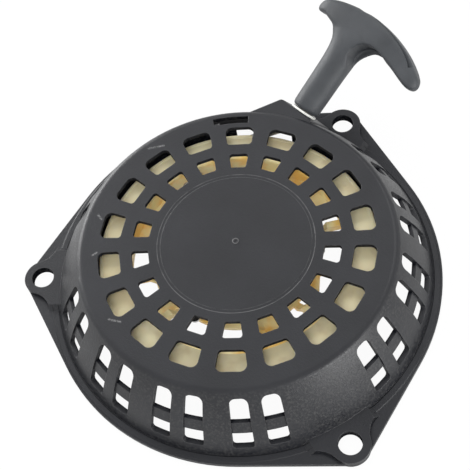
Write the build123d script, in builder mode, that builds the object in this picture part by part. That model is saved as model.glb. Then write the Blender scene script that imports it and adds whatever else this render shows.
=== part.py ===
from build123d import *
from math import asin, atan2, cos, degrees, hypot, pi, radians, sin, sqrt, tan
import os

os.makedirs("parts", exist_ok=True)

# Recoil starter for a small engine, in millimetres.
# Origin: centre of the three-bolt circle on the mounting face. Z runs up the reel axis.
# Ear 1 is on +Y. The rope leaves beside ear 1 and turns the reel clockwise seen from above.

# Cover
cover_height = 37.6
plate_thickness = 2.5
wall_thickness = 2.6
flat_radius = 78.0
shoulder_run = 3.2
shoulder_drop = 1.65
wall_foot_radius = 98.4
wall_foot_height = 3.2
wall_bulge = 1.3
rim_radius = 103.3
rim_thickness = 2.8
rim_inner_radius = 96.0
bolt_circle_radius = 108.0
ear_angles = [90, 210, 330]
ear_boss_radius = 10.0
ear_hole_radius = 5.9
ear_height = 5.0

window_count = 18
outer_window_inner = 58.85
outer_window_outer = 70.0
outer_window_widths = [12.7, 16.0]
inner_window_inner = 44.2
inner_window_outer = 52.8
inner_window_widths = [7.5, 10.3]

column_half_angle = 3.05
column_offsets = [7.3, 17.7, 32.3, 42.7]
column_mids = [30, 150, 270]
column_sill = 7.8
bar_low = 16.0
bar_high = 21.6
column_top = 34.4
arch_radius = 3.2

fence_radius = 73.0
fence_thickness = 2.2
fence_bottom = 18.6
fence_gap = [99.7, 122.3]

well_radius = 37.0
well_wall = 2.2
well_bottom = 26.4
well_screw_circle = 41.0
post_radius = 5.5
post_bottom = 9.9
screw_radius = 2.4

# Rope, eyelet and grip
rope_radius = 1.9
rope_pitch = 4.25
rope_outer_radius = 68.4
rope_half_turns = 4
groove_mid = 22.9
grip_seat = Vector(-13.8, 92.0, 28.1)
pull_azimuth = 76.3
pull_rise = 31.6
rope_bend_radius = 7.0
knot_seat = 50.0
grip_rounding = 2.4

# Reel
reel_radius = 71.0
floor_radius = 57.6
floor_inner = 55.4
reel_bottom = 18.0
groove_height = 5.4
flange_thickness = 2.2
web_outer = 39.7
web_thickness = 2.6
web_floors = [(57, 108), (160, 198)]
web_lobes = [(216, 239, 44.2), (238, 252, 50.0), (311, 331, 46.4)]
arm_angles = [12, 42, 222, 252, 282, 312, 342]
arm_width = 3.4
arm_top = 28.6
arm_under = 24.3
hub_radius = 10.5
hub_bottom = 12.0
hub_top = 34.4
sleeve_radius = 7.0
running_gap = 0.06

# Spring
strip_thickness = 0.5
strip_pitch = 1.9
strip_half_turns = 26
strip_bottom = 27.7
strip_height = 6.4

# Pawls and retainer
pivot_radius = 24.0
pawl_length = 18.5
pawl_rest = -100.0
pawl_swing = 30.0
retainer_swing = 40.0
pawl_bottom = 12.0
pawl_top = 17.4
arm_step = 3.2
peg_reach = 11.0
peg_radius = 1.4
retainer_bottom = 10.0
retainer_thickness = 1.4
retainer_radius = 33.0


def polar(radius, angle, height=0.0):
    return Vector(radius * cos(radians(angle)), radius * sin(radians(angle)), height)


def flat(point):
    return (point.X, point.Y)


def pawl_plane(turn, height):
    return Plane(origin=polar(pivot_radius, turn, height), x_dir=polar(1, turn + pawl_rest), z_dir=(0, 0, 1))


# Direction of the pull, and the two directions square to it
pull_dir = polar(cos(radians(pull_rise)), pull_azimuth, sin(radians(pull_rise)))
across_dir = polar(1, pull_azimuth - 90)
upper_dir = across_dir.cross(pull_dir)
face_centre = grip_seat - pull_dir * 1.5

# Where the rope leaves the reel: a tangent to its outer turn that meets the pull line
bend_point = grip_seat - pull_dir * ((grip_seat.Z - groove_mid) / pull_dir.Z)
bend_distance = hypot(bend_point.X, bend_point.Y)
rope_heading = degrees(atan2(bend_point.Y, bend_point.X) - asin(rope_outer_radius / bend_distance))
tangent_azimuth = rope_heading + 90
heading_dir = polar(1, rope_heading)
tangent_dir = polar(1, tangent_azimuth)

# Points of the curved side wall
shoulder_end = (flat_radius + shoulder_run, cover_height - shoulder_drop)
wall_foot = (wall_foot_radius, wall_foot_height)
inner_shoulder = (shoulder_end[0] - wall_thickness, shoulder_end[1] - 2.0)
inner_foot = (rim_inner_radius, wall_foot_height - 1.2)
plate_under = cover_height - plate_thickness
wall_run = wall_foot[0] - shoulder_end[0]
wall_fall = shoulder_end[1] - wall_foot[1]
wall_chord = hypot(wall_run, wall_fall)


def wall_mid(inset):
    reach = wall_bulge - inset
    middle_radius = (shoulder_end[0] + wall_foot[0]) / 2 + reach * wall_fall / wall_chord
    return (middle_radius, (shoulder_end[1] + wall_foot[1]) / 2 + reach * wall_run / wall_chord)


def wall_radius(height):
    return wall_foot_radius - (height - wall_foot_height) * wall_run / wall_fall


def half_width(height):
    return (wall_radius(height) + wall_bulge) * tan(radians(column_half_angle))


with BuildPart() as cover_shell:
    with BuildSketch(Plane.XZ):
        with BuildLine():
            Line((0, cover_height), (flat_radius, cover_height))
            TangentArc((flat_radius, cover_height), shoulder_end, tangent=(1, 0))
            ThreePointArc(shoulder_end, wall_mid(0), wall_foot)
            Polyline(
                wall_foot,
                (wall_foot_radius + 0.5, rim_thickness - 1.0),
                (wall_foot_radius + 1.4, rim_thickness),
                (rim_radius - 0.5, rim_thickness),
                (rim_radius, rim_thickness - 0.5),
                (rim_radius, 0),
                (rim_inner_radius, 0),
                inner_foot,
            )
            ThreePointArc(inner_foot, wall_mid(wall_thickness), inner_shoulder)
            Polyline(
                inner_shoulder,
                (inner_shoulder[0] - 1.6, plate_under),
                (0, plate_under),
                (0, cover_height),
            )
        make_face()
    revolve(axis=Axis.Z)

with BuildPart() as cover_room:
    with BuildSketch(Plane.XZ):
        with BuildLine():
            ThreePointArc(inner_foot, wall_mid(wall_thickness), inner_shoulder)
            Polyline(
                inner_shoulder,
                (inner_shoulder[0] - 1.6, plate_under),
                (0, plate_under),
                (0, -1),
                (rim_inner_radius, -1),
                inner_foot,
            )
        make_face()
    revolve(axis=Axis.Z)

# Side window column: a tall arched window over a short one, and the set-back bar between them
radial_plane = Plane(origin=(76.4, 0, 0), x_dir=(0, 1, 0), z_dir=(1, 0, 0))
with BuildPart() as window_column:
    with BuildSketch(radial_plane):
        with BuildLine():
            low = half_width(bar_high)
            high = half_width(column_top)
            Polyline((-low, bar_high), (low, bar_high), (high, column_top), (-high, column_top), close=True)
        tall_window = make_face()
        fillet(tall_window.vertices().sort_by(Axis.Y)[-2:], radius=arch_radius)
    extrude(amount=40)
    with BuildSketch(radial_plane):
        with BuildLine():
            low = half_width(column_sill)
            high = half_width(bar_low)
            Polyline((-low, column_sill), (low, column_sill), (high, bar_low), (-high, bar_low), close=True)
        short_window = make_face()
        fillet(short_window.vertices().sort_by(Axis.Y)[:2], radius=1.6)
    extrude(amount=40)

with BuildPart() as bar_recess:
    with BuildSketch(radial_plane):
        with BuildLine():
            low = half_width(bar_low)
            high = half_width(bar_high)
            Polyline(
                (-low, bar_low - 0.3), (low, bar_low - 0.3), (high, bar_high + 0.3), (-high, bar_high + 0.3), close=True
            )
        make_face()
    extrude(amount=40)
    with BuildSketch(Plane.XZ):
        with BuildLine():
            below = bar_low - 3
            above = bar_high + 3
            Polyline(
                (50, below), (wall_radius(below) + 0.5, below), (wall_radius(above) + 0.5, above), (50, above), close=True
            )
        make_face()
    revolve(axis=Axis.Z, mode=Mode.SUBTRACT)

column_angles = []
for mid in column_mids:
    for offset in column_offsets:
        column_angles.extend([mid + offset, mid - offset])
column_angles = [angle for angle in column_angles if not 100 < angle < 120]

# Block on the wall that the rope leaves through, and the channel inside it
face_plane = Plane(origin=face_centre, x_dir=across_dir, z_dir=pull_dir)
with BuildPart() as exit_block:
    with BuildSketch(Plane.XY.offset(14.0)):
        with BuildLine():
            Polyline((-37.6, 71.4), (-24.4, 90.0), (-19.0, 108.0), (2.0, 103.0), (-7.4, 70.0), close=True)
        make_face()
    extrude(amount=35.4 - 14.0)
    with BuildSketch(face_plane):
        Rectangle(90, 90)
    extrude(amount=60, mode=Mode.SUBTRACT)
    front = exit_block.faces().sort_by(Axis(face_centre, pull_dir))[-1]
    fillet(front.edges(), radius=1.6)

channel_floor = 16.6
with BuildPart() as rope_channel:
    with BuildSketch(Plane.XY.offset(channel_floor)):
        with BuildLine():
            Polyline((-34.0, 71.0), (-22.4, 87.4), (-18.0, 106.0), (-2.4, 102.0), (-11.0, 70.0), close=True)
        make_face()
    extrude(amount=32.9 - channel_floor)
    with BuildSketch(face_plane.offset(-3.0)):
        Rectangle(90, 90)
    extrude(amount=60, mode=Mode.SUBTRACT)

# Window shapes of the top plate
with BuildSketch(Plane.XY.offset(plate_under - 3)) as outer_window:
    near = outer_window_widths[0] / 2
    far = outer_window_widths[1] / 2
    with BuildLine():
        Polyline(
            (outer_window_inner, -near),
            (outer_window_outer, -far),
            (outer_window_outer, far),
            (outer_window_inner, near),
            close=True,
        )
    make_face()
    fillet(outer_window.vertices().sort_by(Axis.X)[-2:], radius=3.4)
    fillet(outer_window.vertices().sort_by(Axis.X)[:2], radius=1.8)

with BuildSketch(Plane.XY.offset(plate_under - 3)) as inner_window:
    near = inner_window_widths[0] / 2
    far = inner_window_widths[1] / 2
    with BuildLine():
        Polyline(
            (inner_window_inner, -near),
            (inner_window_outer, -far),
            (inner_window_outer, far),
            (inner_window_inner, near),
            close=True,
        )
    make_face()
    fillet(inner_window.vertices().sort_by(Axis.X)[-2:], radius=1.6)
    fillet(inner_window.vertices().sort_by(Axis.X)[:2], radius=0.9)

with BuildPart() as starter_cover:
    add(cover_shell.part)
    # skirt drawn out to the three ears on straight tangents
    with BuildSketch(Plane.XY):
        Circle(rim_radius)
        with PolarLocations(bolt_circle_radius, 3, start_angle=90):
            Circle(ear_boss_radius - 0.3)
        make_hull()
        Circle(rim_radius - 4.6, mode=Mode.SUBTRACT)
    extrude(amount=rim_thickness)
    # raised ear plates with hollowed flanks, and a ramp at each side
    for ear_angle in ear_angles:
        along_ear = polar(1, ear_angle - 90)
        with BuildSketch(Plane(origin=(0, 0, 0), x_dir=along_ear, z_dir=(0, 0, 1))):
            with BuildLine():
                ThreePointArc((-16.4, 103.0), (-12.4, 105.9), (-9.72, 110.35))
                ThreePointArc((-9.72, 110.35), (0, bolt_circle_radius + ear_boss_radius), (9.72, 110.35))
                ThreePointArc((9.72, 110.35), (12.4, 105.9), (16.4, 103.0))
                Line((16.4, 103.0), (16.4, 95.8))
                ThreePointArc((16.4, 95.8), (0, 97.2), (-16.4, 95.8))
                Line((-16.4, 95.8), (-16.4, 103.0))
            make_face()
        extrude(amount=ear_height)
        with BuildSketch(Plane(origin=polar(103.0, ear_angle), x_dir=along_ear, z_dir=polar(-1, ear_angle))):
            with BuildLine():
                Polyline(
                    (-19.2, 0.4),
                    (-19.2, rim_thickness),
                    (-16.3, ear_height),
                    (16.3, ear_height),
                    (19.2, rim_thickness),
                    (19.2, 0.4),
                    close=True,
                )
            make_face()
        extrude(amount=7.6)
    add(exit_block.part)
    add(cover_room.part, mode=Mode.SUBTRACT)
    # fence round the reel, open where the rope leaves
    with BuildSketch(Plane.XY.offset(fence_bottom)):
        Circle(fence_radius + fence_thickness)
        Circle(fence_radius, mode=Mode.SUBTRACT)
        with BuildLine():
            Polyline((0, 0), flat(polar(110, fence_gap[0])), flat(polar(110, fence_gap[1])), close=True)
        make_face(mode=Mode.SUBTRACT)
    extrude(amount=plate_under - fence_bottom + 0.2)
    # spring well with three screw bosses, and the post the reel turns on
    with BuildSketch(Plane.XY.offset(well_bottom)):
        Circle(well_radius + well_wall)
        with PolarLocations(well_screw_circle, 3, start_angle=30):
            Circle(2.8)
        Circle(well_radius, mode=Mode.SUBTRACT)
    extrude(amount=plate_under - well_bottom + 0.2)
    with BuildSketch(Plane.XY.offset(post_bottom)):
        Circle(post_radius)
    extrude(amount=plate_under - post_bottom + 0.2)
    # openings
    with PolarLocations(0, window_count):
        add(outer_window.sketch)
    extrude(amount=8, mode=Mode.SUBTRACT)
    with PolarLocations(0, window_count):
        add(inner_window.sketch)
    extrude(amount=8, mode=Mode.SUBTRACT)
    with Locations(*[Location((0, 0, 0), (0, 0, angle)) for angle in column_angles]):
        add(window_column.part, mode=Mode.SUBTRACT)
        add(bar_recess.part, mode=Mode.SUBTRACT)
    add(rope_channel.part, mode=Mode.SUBTRACT)
    # short arc slot above the rope channel
    with BuildSketch(Plane.XY.offset(plate_under - 1)):
        Circle(77.2)
        Circle(72.8, mode=Mode.SUBTRACT)
        with BuildLine():
            Polyline((0, 0), flat(polar(120, 116.7)), flat(polar(120, 131.0)), close=True)
        make_face(mode=Mode.INTERSECT)
    extrude(amount=6, mode=Mode.SUBTRACT)
    # the fence stops short under it
    with BuildSketch(Plane.XY.offset(29.0)):
        Circle(fence_radius + fence_thickness + 0.4)
        Circle(fence_radius - 0.4, mode=Mode.SUBTRACT)
        with BuildLine():
            Polyline((0, 0), flat(polar(120, 120.0)), flat(polar(120, 132.5)), close=True)
        make_face(mode=Mode.INTERSECT)
    extrude(amount=plate_under - 29.0, mode=Mode.SUBTRACT)
    # eyelet hole, screw holes and ear holes
    with BuildSketch(face_plane.offset(2)):
        Circle(4.4)
    extrude(amount=-9, mode=Mode.SUBTRACT)
    with BuildSketch(Plane.XY.offset(post_bottom - 1)):
        Circle(screw_radius + 0.05)
    extrude(amount=18, mode=Mode.SUBTRACT)
    with BuildSketch(Plane.XY.offset(well_bottom - 1)):
        with PolarLocations(well_screw_circle, 3, start_angle=30):
            Circle(1.2)
    extrude(amount=7, mode=Mode.SUBTRACT)
    with BuildSketch(Plane.XY.offset(-1)):
        with PolarLocations(bolt_circle_radius, 3, start_angle=90):
            Circle(ear_hole_radius)
    extrude(amount=ear_height + 4, mode=Mode.SUBTRACT)
    # hook slot for the spring's outer end
    with BuildSketch(Plane.XY.offset(strip_bottom - 0.3)):
        with Locations((37.9, 0)):
            Rectangle(3.4, 1.4)
    extrude(amount=strip_height + 0.6, mode=Mode.SUBTRACT)
    # shallow ring groove and the moulding mark at the centre of the plate
    with BuildSketch(Plane.XY.offset(cover_height - 0.12)):
        Circle(39.7)
        Circle(38.1, mode=Mode.SUBTRACT)
    extrude(amount=1, mode=Mode.SUBTRACT)
    with BuildSketch(Plane.XY.offset(cover_height - 0.1)):
        Circle(1.7)
        Circle(0.8, mode=Mode.SUBTRACT)
    extrude(amount=0.35)
    starter_cover.part.label = "starter_cover"
export_step(starter_cover.part, "parts/starter_cover.step")

# Eyelet: a flanged bush in the block's face, bell-mouthed inside
with BuildPart() as rope_eyelet:
    with BuildSketch(Plane.XZ):
        with BuildLine():
            Polyline((4.3, 0.02), (7.5, 0.02), (7.5, 0.9), (7.2, 1.15), (3.1, 1.15), (2.5, 0.6), (2.5, -3.4))
            RadiusArc((2.5, -3.4), (4.3, -5.6), -2.6)
            Line((4.3, -5.6), (4.3, 0.02))
        make_face()
    revolve(axis=Axis.Z)
rope_eyelet.part = face_plane.location * rope_eyelet.part
rope_eyelet.part.label = "rope_eyelet"
export_step(rope_eyelet.part, "parts/rope_eyelet.step")

# Post sleeve and thrust washer
with BuildPart() as post_sleeve:
    with BuildSketch(Plane.XY.offset(retainer_bottom + retainer_thickness + 0.1)):
        Circle(sleeve_radius)
        Circle(post_radius + 0.02, mode=Mode.SUBTRACT)
    extrude(amount=plate_under - 0.05 - (retainer_bottom + retainer_thickness + 0.1))
    chamfer(post_sleeve.edges().filter_by(GeomType.CIRCLE).group_by(Axis.Z)[0].sort_by(SortBy.RADIUS)[-1], 0.4)
    post_sleeve.part.label = "post_sleeve"
export_step(post_sleeve.part, "parts/post_sleeve.step")

with BuildPart() as thrust_washer:
    with BuildSketch(Plane.XY.offset(hub_top + 0.06)):
        Circle(hub_radius - 0.1)
        Circle(sleeve_radius + 0.1, mode=Mode.SUBTRACT)
    extrude(amount=plate_under - hub_top - 0.06)
    thrust_washer.part.label = "thrust_washer"
export_step(thrust_washer.part, "parts/thrust_washer.step")

# Rope: two turns in the groove, then a short tail on the tangent; inside it bends to its knot
knot_bend = 8.0
knot_run = 9.0


def at_tangent(distance):
    return tangent_dir * distance + Vector(0, 0, groove_mid)


inner_reach = rope_outer_radius - rope_half_turns * rope_pitch / 2
inner_side = -1 if rope_half_turns % 2 else 1
inner_azimuth = tangent_azimuth + (180 if rope_half_turns % 2 else 0)
winding_inner = at_tangent(inner_side * inner_reach)
knot_bend_centre = at_tangent(inner_side * (inner_reach - knot_bend))
knot_bend_end = knot_bend_centre + polar(knot_bend, inner_azimuth + 45)
knot_bend_mid = knot_bend_centre + polar(knot_bend, inner_azimuth + 22.5)
knot_dir = polar(1, inner_azimuth + 135)
rope_inner_end = knot_bend_end + knot_dir * knot_run

with BuildPart() as rope_winding:
    with BuildLine() as winding_path:
        Line(rope_inner_end, knot_bend_end)
        ThreePointArc(knot_bend_end, knot_bend_mid, winding_inner)
        side = inner_side
        reach = inner_reach
        for half in range(rope_half_turns):
            arc_centre = side * rope_pitch / 4
            arc_radius = reach + rope_pitch / 4
            low_mid = at_tangent(arc_centre * -1) - heading_dir * (arc_radius * side * -1)
            ThreePointArc(at_tangent(side * reach), low_mid, at_tangent(-side * (reach + rope_pitch / 2)))
            side = -side
            reach = reach + rope_pitch / 2
        Line(at_tangent(rope_outer_radius), at_tangent(rope_outer_radius) + heading_dir * 4)
    with BuildSketch(Plane(origin=rope_inner_end, z_dir=-knot_dir)):
        Circle(rope_radius)
    sweep(path=winding_path.wires()[0])
    rope_winding.part.label = "rope_winding"
export_step(rope_winding.part, "parts/rope_winding.step")


def path_samples(wire, count):
    return [wire.position_at(step / count) for step in range(count + 1)]


def least_gap(wire, width, away):
    length = wire.length
    count = int(length / 2.0)
    points = path_samples(wire, count)
    skip = int(away / (length / count)) + 1
    nearest = 1000.0
    for first in range(len(points)):
        for second in range(first + skip, len(points)):
            nearest = min(nearest, (points[first] - points[second]).length)
    return nearest - width


winding_wire = winding_path.wires()[0]
print("rope winding gap", round(least_gap(winding_wire, 2 * rope_radius, 60), 3))
print("rope winding volume over section times length",
      round(rope_winding.part.volume / (pi * rope_radius**2 * winding_wire.length), 4))

with BuildPart() as reel_knot:
    with BuildSketch(Plane(origin=rope_inner_end, x_dir=(0, 0, 1), z_dir=Vector(0, 0, 1).cross(knot_dir))):
        with BuildLine():
            Polyline((0, 0.02), (2.3, 0.02))
            ThreePointArc((2.3, 0.02), (3.4, 3.3), (2.3, 6.4))
            Line((2.3, 6.4), (0, 6.4))
            Line((0, 6.4), (0, 0.02))
        make_face()
    revolve(axis=Axis(rope_inner_end, knot_dir))
    reel_knot.part.label = "reel_knot"
export_step(reel_knot.part, "parts/reel_knot.step")

# Reel
with BuildPart() as knot_hole:
    with BuildLine() as knot_path:
        Line(rope_inner_end + knot_dir * 1.5, knot_bend_end)
        ThreePointArc(knot_bend_end, knot_bend_mid, winding_inner)
    with BuildSketch(Plane(origin=rope_inner_end + knot_dir * 1.5, z_dir=-knot_dir)):
        Circle(rope_radius + 0.35)
    sweep(path=knot_path.wires()[0])

with BuildPart() as rope_reel:
    with BuildSketch(Plane.XZ):
        groove_low = reel_bottom + flange_thickness
        groove_high = groove_low + groove_height
        with BuildLine():
            Polyline(
                (floor_inner, reel_bottom),
                (reel_radius - 0.4, reel_bottom),
                (reel_radius, reel_bottom + 0.4),
                (reel_radius, groove_low),
                (floor_radius, groove_low),
                (floor_radius, groove_high),
                (reel_radius, groove_high),
                (reel_radius, groove_high + 3.3),
                (reel_radius - 0.3, groove_high + 3.6),
                (reel_radius - 1.5, groove_high + 3.6),
                (reel_radius - 1.8, groove_high + 3.3),
                (floor_inner + 0.4, groove_high + 3.3),
                (floor_inner, groove_high + 2.9),
                close=True,
            )
        make_face()
        hub_bore = sleeve_radius + running_gap
        with BuildLine():
            Polyline(
                (hub_bore, hub_bottom),
                (hub_radius - 0.5, hub_bottom),
                (hub_radius - 0.1, reel_bottom),
                (web_outer, reel_bottom),
                (web_outer, reel_bottom + web_thickness),
                (hub_radius, reel_bottom + web_thickness),
                (hub_radius, hub_top - 0.3),
                (hub_radius - 0.3, hub_top),
                (hub_bore, hub_top),
                close=True,
            )
        make_face()
    revolve(axis=Axis.Z)
    # arms that rise from the web to the upper flange
    for turn in arm_angles:
        arm_side = Plane(origin=polar(arm_width / 2, turn + 90), x_dir=polar(1, turn), z_dir=polar(-1, turn + 90))
        with BuildSketch(arm_side):
            with BuildLine():
                Polyline(
                    (web_outer - 2.5, reel_bottom + 0.5),
                    (42.0, reel_bottom + 0.5),
                    (46.5, arm_under),
                    (floor_inner + 0.6, arm_under),
                    (floor_inner + 0.6, arm_top),
                    (46.6, arm_top),
                    (43.9, 23.6),
                    (41.0, 21.2),
                    (web_outer - 2.5, 20.4),
                    close=True,
                )
            make_face()
        extrude(amount=-arm_width)
    # a slanted strut, solid floors out to the groove's wall, and lobes of the web
    with BuildSketch(Plane.XY.offset(reel_bottom)):
        with Locations(Location((45.3, -3.0, 0), (0, 0, 117))):
            Rectangle(33.0, 5.2)
    extrude(amount=web_thickness)
    web_sectors = [(first, last, floor_inner + 0.6) for first, last in web_floors] + web_lobes
    for first, last, reach in web_sectors:
        with BuildSketch(Plane.XY.offset(reel_bottom)):
            Circle(reach)
            Circle(web_outer - 1, mode=Mode.SUBTRACT)
            with BuildLine():
                Polyline((0, 0), flat(polar(120, first)), flat(polar(120, last)), close=True)
            make_face(mode=Mode.INTERSECT)
        extrude(amount=web_thickness)
    # bosses for the pawl pins, and the stops their springs lean on
    with BuildSketch(Plane.XY.offset(reel_bottom)):
        with PolarLocations(pivot_radius, 2):
            Circle(4.6)
    extrude(amount=5.2)
    for turn in (0, 180):
        with BuildSketch(pawl_plane(turn, reel_bottom + 0.2)):
            with Locations((-1.2, -7.2)):
                Rectangle(2.6, 2.4)
        extrude(amount=-2.3)
    with BuildSketch(Plane.XY.offset(reel_bottom - 1)):
        with PolarLocations(pivot_radius, 2):
            Circle(2.02)
    extrude(amount=5.2, mode=Mode.SUBTRACT)
    add(knot_hole.part, mode=Mode.SUBTRACT)
    # hook slot in the hub for the spring's inner end
    with BuildSketch(Plane.XY.offset(strip_bottom - 0.3)):
        with Locations((hub_radius - 0.4, 0)):
            Rectangle(3.2, 1.4)
    extrude(amount=10, mode=Mode.SUBTRACT)
    rope_reel.part.label = "rope_reel"
export_step(rope_reel.part, "parts/rope_reel.step")

# Recoil spring: a flat strip wound in half turns, with a hooked end at the hub and at the well
inner_spring = 11.4
half_strip = strip_thickness / 2
with BuildPart() as recoil_spring:
    with BuildSketch(Plane.XY.offset(strip_bottom)):
        with BuildLine() as spring_outline:
            side = 1
            reach = inner_spring
            for half in range(strip_half_turns):
                end_reach = reach + strip_pitch / 2
                arc_radius = (reach + end_reach) / 2
                middle = side * (reach - end_reach) / 2
                for offset in (-half_strip, half_strip):
                    ThreePointArc(
                        (side * (reach + offset), 0),
                        (middle, -side * (arc_radius + offset)),
                        (-side * (end_reach + offset), 0),
                    )
                side = -side
                reach = end_reach
            Line((inner_spring - half_strip, 0), (inner_spring + half_strip, 0))
            Line((side * (reach - half_strip), 0), (side * (reach + half_strip), 0))
        make_face()
        outer_spring = reach
        with Locations(((inner_spring + half_strip + 8.7) / 2, 0.25 * side)):
            Rectangle(inner_spring + half_strip - 8.7, strip_thickness)
        with Locations(((outer_spring + 38.6) / 2 * side, 0.0)):
            Rectangle(38.6 - outer_spring + strip_thickness, strip_thickness)
    extrude(amount=strip_height)
    recoil_spring.part.label = "recoil_spring"
export_step(recoil_spring.part, "parts/recoil_spring.step")
print("spring reaches", round(outer_spring, 2), "of", well_radius, "gap between turns", strip_pitch - strip_thickness)

# Spring cover and its three screws
with BuildPart() as spring_cover:
    with BuildSketch(Plane.XY.offset(well_bottom)):
        Circle(well_radius + well_wall)
        with PolarLocations(well_screw_circle, 3, start_angle=30):
            Circle(3.0)
        Circle(hub_radius + 2.0, mode=Mode.SUBTRACT)
        with PolarLocations(well_screw_circle, 3, start_angle=30):
            Circle(1.25, mode=Mode.SUBTRACT)
        with PolarLocations(24.0, 6):
            Circle(3.4, mode=Mode.SUBTRACT)
    extrude(amount=-0.8)
    spring_cover.part.label = "spring_cover"
export_step(spring_cover.part, "parts/spring_cover.step")

with BuildPart() as spring_cover_screws:
    for angle in (30, 150, 270):
        with BuildSketch(Plane(origin=polar(well_screw_circle, angle, well_bottom - 0.8), z_dir=(0, 0, -1))):
            Circle(2.5)
        extrude(amount=1.4)
        with BuildSketch(Plane(origin=polar(well_screw_circle, angle, well_bottom - 0.8), z_dir=(0, 0, 1))):
            Circle(1.15)
        extrude(amount=5.6)
        with BuildSketch(Plane(origin=polar(well_screw_circle, angle, well_bottom - 2.2), z_dir=(0, 0, 1))):
            Rectangle(2.6, 0.6)
            Rectangle(0.6, 2.6)
        extrude(amount=0.8, mode=Mode.SUBTRACT)
    spring_cover_screws.part.label = "spring_cover_screws"
export_step(spring_cover_screws.part, "parts/spring_cover_screws.step")

# Centre washer and screw, which hold the reel on its post
with BuildPart() as centre_washer:
    with BuildSketch(Plane.XY.offset(post_bottom)):
        Circle(9.0)
        Circle(screw_radius + 0.1, mode=Mode.SUBTRACT)
    extrude(amount=-0.8)
    centre_washer.part.label = "centre_washer"
export_step(centre_washer.part, "parts/centre_washer.step")

with BuildPart() as centre_screw:
    head_top = post_bottom - 0.8
    with BuildSketch(Plane.XY.offset(head_top)):
        Circle(screw_radius)
    extrude(amount=17)
    with BuildSketch(Plane.XY.offset(head_top)):
        RegularPolygon(radius=4.6, side_count=6)
    extrude(amount=-3.6)
    with BuildSketch(Plane.XY.offset(head_top)):
        Circle(5.4)
    extrude(amount=-0.7)
    with BuildSketch(Plane.XY.offset(head_top - 3.6)):
        Circle(2.6)
    extrude(amount=0.5, mode=Mode.SUBTRACT)
    centre_screw.part.label = "centre_screw"
export_step(centre_screw.part, "parts/centre_screw.step")

# Pawls, their pins, and the slotted retainer that swings them out by a peg on each
with BuildPart() as pawl_pins:
    with BuildSketch(Plane.XY.offset(pawl_bottom - 0.3)):
        with PolarLocations(pivot_radius, 2):
            Circle(2.0)
    extrude(amount=reel_bottom + 4.0 - (pawl_bottom - 0.3))
    chamfer(pawl_pins.edges().filter_by(GeomType.CIRCLE).group_by(Axis.Z)[0], 0.3)
    pawl_pins.part.label = "pawl_pins"
export_step(pawl_pins.part, "parts/pawl_pins.step")

for letter, turn in (("a", 0), ("b", 180)):
    with BuildPart() as pawl:
        with BuildSketch(pawl_plane(turn, pawl_bottom)):
            with BuildLine():
                ThreePointArc((0, 4.2), (-4.2, 0), (0, -4.2))
                Polyline((0, -4.2), (pawl_length - 3.0, -2.6), (pawl_length, 1.0), (pawl_length - 1.5, 4.2), (0, 4.2))
            make_face()
        extrude(amount=arm_step)
        # the raised end leaves a shelf for the spring's coil and its long leg
        with BuildSketch(pawl_plane(turn, pawl_bottom + arm_step)):
            with BuildLine():
                Polyline(
                    (5.2, -3.6),
                    (pawl_length - 3.0, -2.6),
                    (pawl_length, 1.0),
                    (pawl_length - 1.5, 4.2),
                    (10.6, 4.2),
                    (9.6, 2.5),
                    (5.2, 2.5),
                    close=True,
                )
            make_face()
        extrude(amount=pawl_top - pawl_bottom - arm_step)
        with BuildSketch(pawl_plane(turn, pawl_bottom)):
            with Locations((peg_reach, 0)):
                Circle(peg_radius)
        extrude(amount=-1.7)
        with BuildSketch(pawl_plane(turn, pawl_bottom)):
            Circle(2.0 + running_gap)
        extrude(amount=5, mode=Mode.SUBTRACT)
        pawl.part.label = "pawl_" + letter
    export_step(pawl.part, "parts/pawl_" + letter + ".step")

peg_angles = []
for share in (0, 0.5, 1):
    peg = Vector(pivot_radius, 0) + polar(peg_reach, pawl_rest + pawl_swing * share)
    peg_angles.append((hypot(peg.X, peg.Y), degrees(atan2(peg.Y, peg.X)) - retainer_swing * share))
slot_points = [polar(reach, angle) for reach, angle in peg_angles]
slot_start = polar(peg_angles[0][0], peg_angles[0][1] + 2.0)
slot_end = polar(peg_angles[2][0], peg_angles[2][1] - 2.0)

with BuildPart() as pawl_retainer:
    with BuildSketch(Plane.XY.offset(retainer_bottom)):
        Circle(retainer_radius)
        Circle(post_radius + running_gap, mode=Mode.SUBTRACT)
        for turn in (0, 180):
            with Locations(Location((0, 0, 0), (0, 0, turn))):
                with BuildLine(mode=Mode.PRIVATE) as slot_line:
                    ThreePointArc(slot_points[0], slot_points[1], slot_points[2])
                SlotArc(slot_line.edges()[0], height=2 * peg_radius + 0.7, mode=Mode.SUBTRACT)
    extrude(amount=retainer_thickness)
    with BuildSketch(Plane.XY.offset(retainer_bottom)):
        Circle(retainer_radius)
        Circle(retainer_radius - 1.2, mode=Mode.SUBTRACT)
    extrude(amount=-0.8)
    pawl_retainer.part.label = "pawl_retainer"
export_step(pawl_retainer.part, "parts/pawl_retainer.step")


# Wire springs: a coil is a chain of biarcs, one to each quarter turn
def biarc(start, start_dir, end, end_dir):
    chord = end - start
    both = start_dir + end_dir
    bend = 2 * (1 - start_dir.dot(end_dir))
    slope = chord.dot(both)
    reach = (sqrt(slope**2 + bend * chord.dot(chord)) - slope) / bend
    joint = (start + end + (start_dir - end_dir) * reach) / 2
    joint_dir = ((end - end_dir * reach) - (start + start_dir * reach)).normalized()
    TangentArc(start, joint, tangent=start_dir)
    TangentArc(joint, end, tangent=joint_dir)


def coil_point(radius, angle, rise):
    return polar(radius, angle, rise * angle / 360)


def coil_dir(radius, angle, rise):
    return Vector(-sin(radians(angle)), cos(radians(angle)), rise / (2 * pi * radius)).normalized()


def coil(radius, first_angle, quarters, rise):
    for quarter in range(quarters):
        start = first_angle + 90 * quarter
        biarc(
            coil_point(radius, start, rise),
            coil_dir(radius, start, rise),
            coil_point(radius, start + 90, rise),
            coil_dir(radius, start + 90, rise),
        )


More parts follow.
